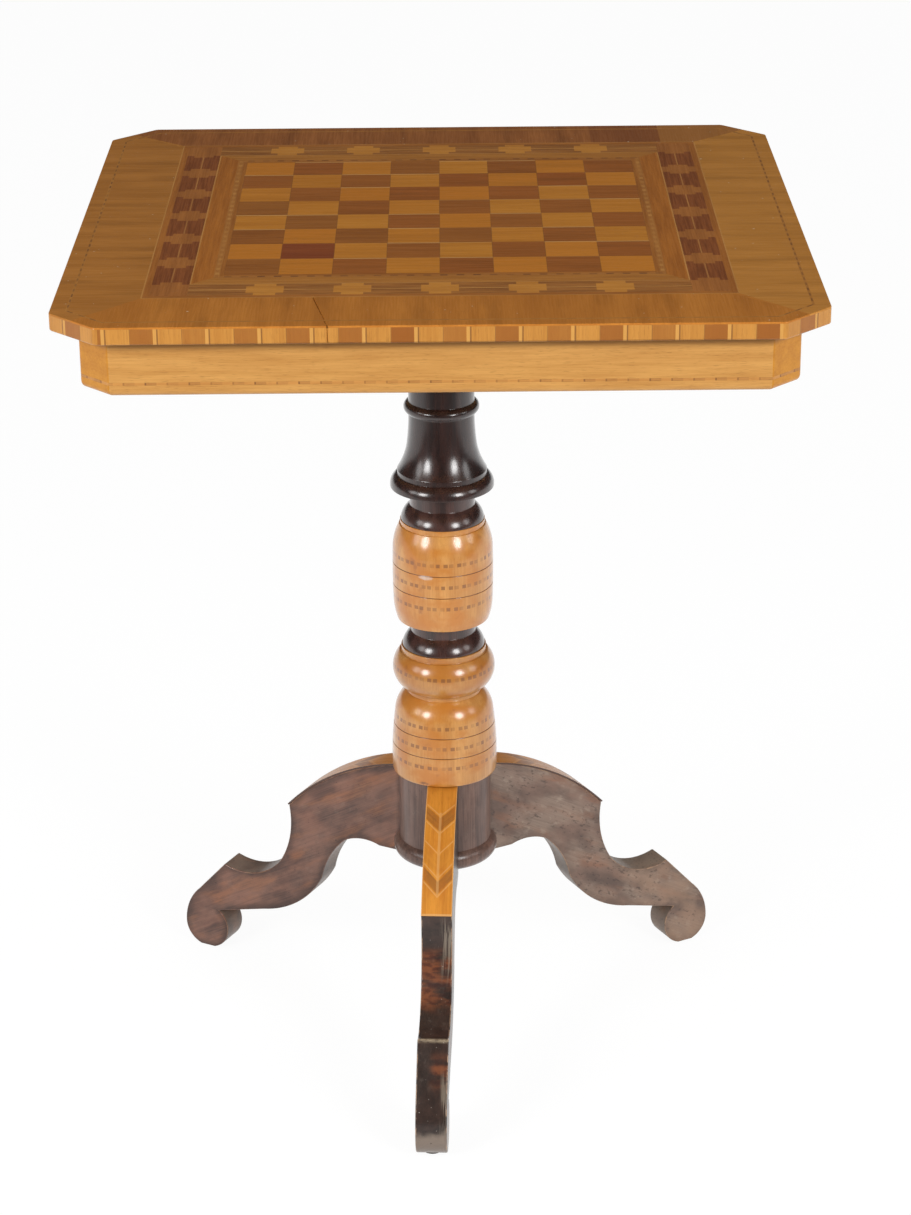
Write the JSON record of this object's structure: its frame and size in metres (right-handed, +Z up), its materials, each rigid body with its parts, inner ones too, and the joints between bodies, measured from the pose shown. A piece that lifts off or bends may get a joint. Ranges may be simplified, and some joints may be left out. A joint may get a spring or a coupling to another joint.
{
  "type": "tilt-top chess table",
  "caption": "Chess table with an inlaid square top, canted corners and a frieze, on a turned pillar with scrolled legs; the top tips upright on pins and a bolt locks it flat.",
  "frame": {"origin": "on the floor under the pillar's axis, which is also under the middle of the top", "axes": "+Z up, +X to the right and -Y towards the player whose side the picture shows"},
  "size_m": [0.588, 0.588, 0.7415],
  "materials": {
    "dark_turning": "ebonised, french polished",
    "light_turning": "french polished",
    "turning_banding": "polished",
    "leg_wood": "ebonised, worn",
    "leg_veneer": "polished inlay",
    "felt": "matted felt",
    "carcass_wood": "planed, unpolished",
    "pin_wood": "turned hardwood",
    "brass": "aged",
    "screw_steel": "dull",
    "light_square": "polished veneer",
    "dark_square": "polished veneer",
    "replaced_square": "polished veneer",
    "surround": "polished veneer",
    "ladder": "polished banding",
    "inner_border": "polished veneer",
    "light_line": "polished stringing",
    "pattern_dark": "polished veneer",
    "pattern_light": "polished veneer",
    "outer_stripe": "polished veneer",
    "border": "polished crossbanding",
    "border_string": "polished dashed stringing",
    "edge_banding": "polished block banding",
    "frieze": "polished",
    "frieze_corner": "polished",
    "frieze_string": "polished dashed stringing"
  },
  "bodies": {
    "pedestal": {"hub": "dark_turning", "front_leg": "leg_wood", "right_leg": "leg_wood", "left_leg": "leg_wood", "front_leg_veneer": "leg_veneer", "right_leg_veneer": "leg_veneer", "left_leg_veneer": "leg_veneer", "foot_pads": "felt", "lower_barrel": "light_turning", "lower_barrel_inlay": "turning_banding", "bobbin": "light_turning", "bobbin_inlay": "turning_banding", "middle_reel": "dark_turning", "upper_barrel": "light_turning", "upper_barrel_inlay": "turning_banding", "upper_reel": "dark_turning", "pillar_head": "dark_turning", "head_block": "carcass_wood", "pivot_pins": "pin_wood", "keeper_plate": "brass", "keeper_screws": "screw_steel"},
    "tilting_top": {"top_core": "carcass_wood", "left_bearer": "carcass_wood", "right_bearer": "carcass_wood", "glue_blocks": "carcass_wood", "catch_case": "brass", "case_screws": "screw_steel", "bearer_screws": "screw_steel", "light_squares": "light_square", "dark_squares": "dark_square", "replaced_square": "replaced_square", "surround_strips": "surround", "ladder_strips": "ladder", "inner_border_strips": "inner_border", "inner_line_strips": "light_line", "pattern_lines": "light_line", "outer_line_strips": "light_line", "pattern_blocks": "pattern_dark", "pattern_spools": "pattern_light", "outer_stripe_strips": "outer_stripe", "front_border": "border", "right_border": "border", "rear_border": "border", "left_border": "border", "border_stringing": "border_string", "front_edge_band": "edge_banding", "right_edge_band": "edge_banding", "rear_edge_band": "edge_banding", "left_edge_band": "edge_banding", "corner_edge_bands": "edge_banding", "front_frieze": "frieze", "right_frieze": "frieze", "rear_frieze": "frieze", "left_frieze": "frieze", "frieze_corners": "frieze_corner", "frieze_stringing": "frieze_string"},
    "bolt": {"catch_bolt": "brass", "bolt_knob": "brass"}
  },
  "joints": [
    {"name": "top_tilt", "type": "hinge", "parent": "pedestal", "child": "tilting_top", "pos_m": [0, -0.09, 0.71219], "axis": [1, 0, 0], "range_deg": [0, 90]},
    {"name": "bolt_slide", "type": "slide", "parent": "tilting_top", "child": "bolt", "axis": [0, -1, 0], "range_m": [0, 0.012]}
  ]
}
